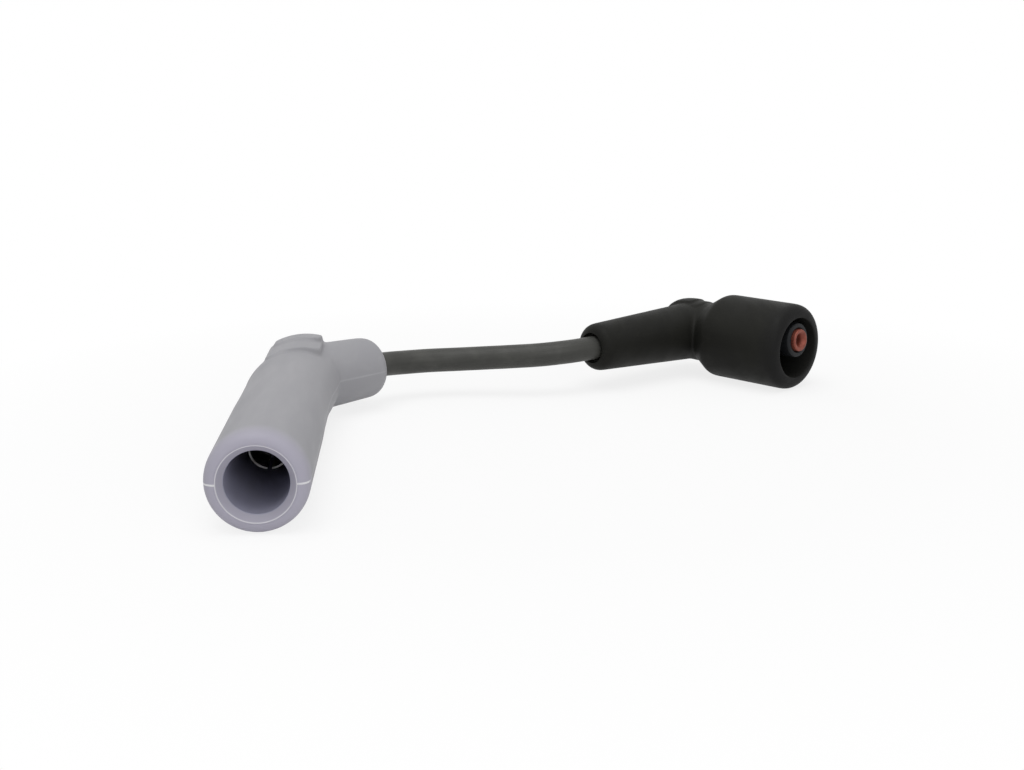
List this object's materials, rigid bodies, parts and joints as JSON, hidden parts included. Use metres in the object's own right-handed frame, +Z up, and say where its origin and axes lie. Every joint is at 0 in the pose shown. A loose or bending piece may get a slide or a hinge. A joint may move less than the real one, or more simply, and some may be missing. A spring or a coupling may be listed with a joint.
{
  "type": "spark plug wire",
  "caption": "Short ignition cable with a long elbowed plug boot at one end and a wide elbowed coil boot with a central post at the other.",
  "frame": {"origin": "on the surface that both boots lie on, under the middle of the two boots' common box", "axes": "+Z up from the surface, -Y along the plug boot's barrel and out of its mouth, +X from the plug boot to the coil boot"},
  "size_m": [0.168, 0.16, 0.026],
  "materials": {
    "grey_silicone": "matte moulded silicone",
    "plated_steel": "rolled and plated sheet",
    "spring_steel": "drawn wire",
    "dark_grey_silicone": "satin extruded silicone",
    "pale_rubber": "matte extruded rubber",
    "carbon_core": "carbon filled fibre core",
    "black_rubber": "matte moulded rubber",
    "black_insulator": "hard moulded insulator",
    "copper_alloy": "dull copper alloy"
  },
  "bodies": {
    "root": {"plug_boot": "grey_silicone", "plug_terminal": "plated_steel", "plug_terminal_spring": "spring_steel", "cable_jacket": "dark_grey_silicone", "cable_insulation": "pale_rubber", "cable_conductor": "carbon_core", "coil_boot": "black_rubber", "coil_post": "black_insulator", "coil_terminal": "copper_alloy"}
  },
  "joints": []
}
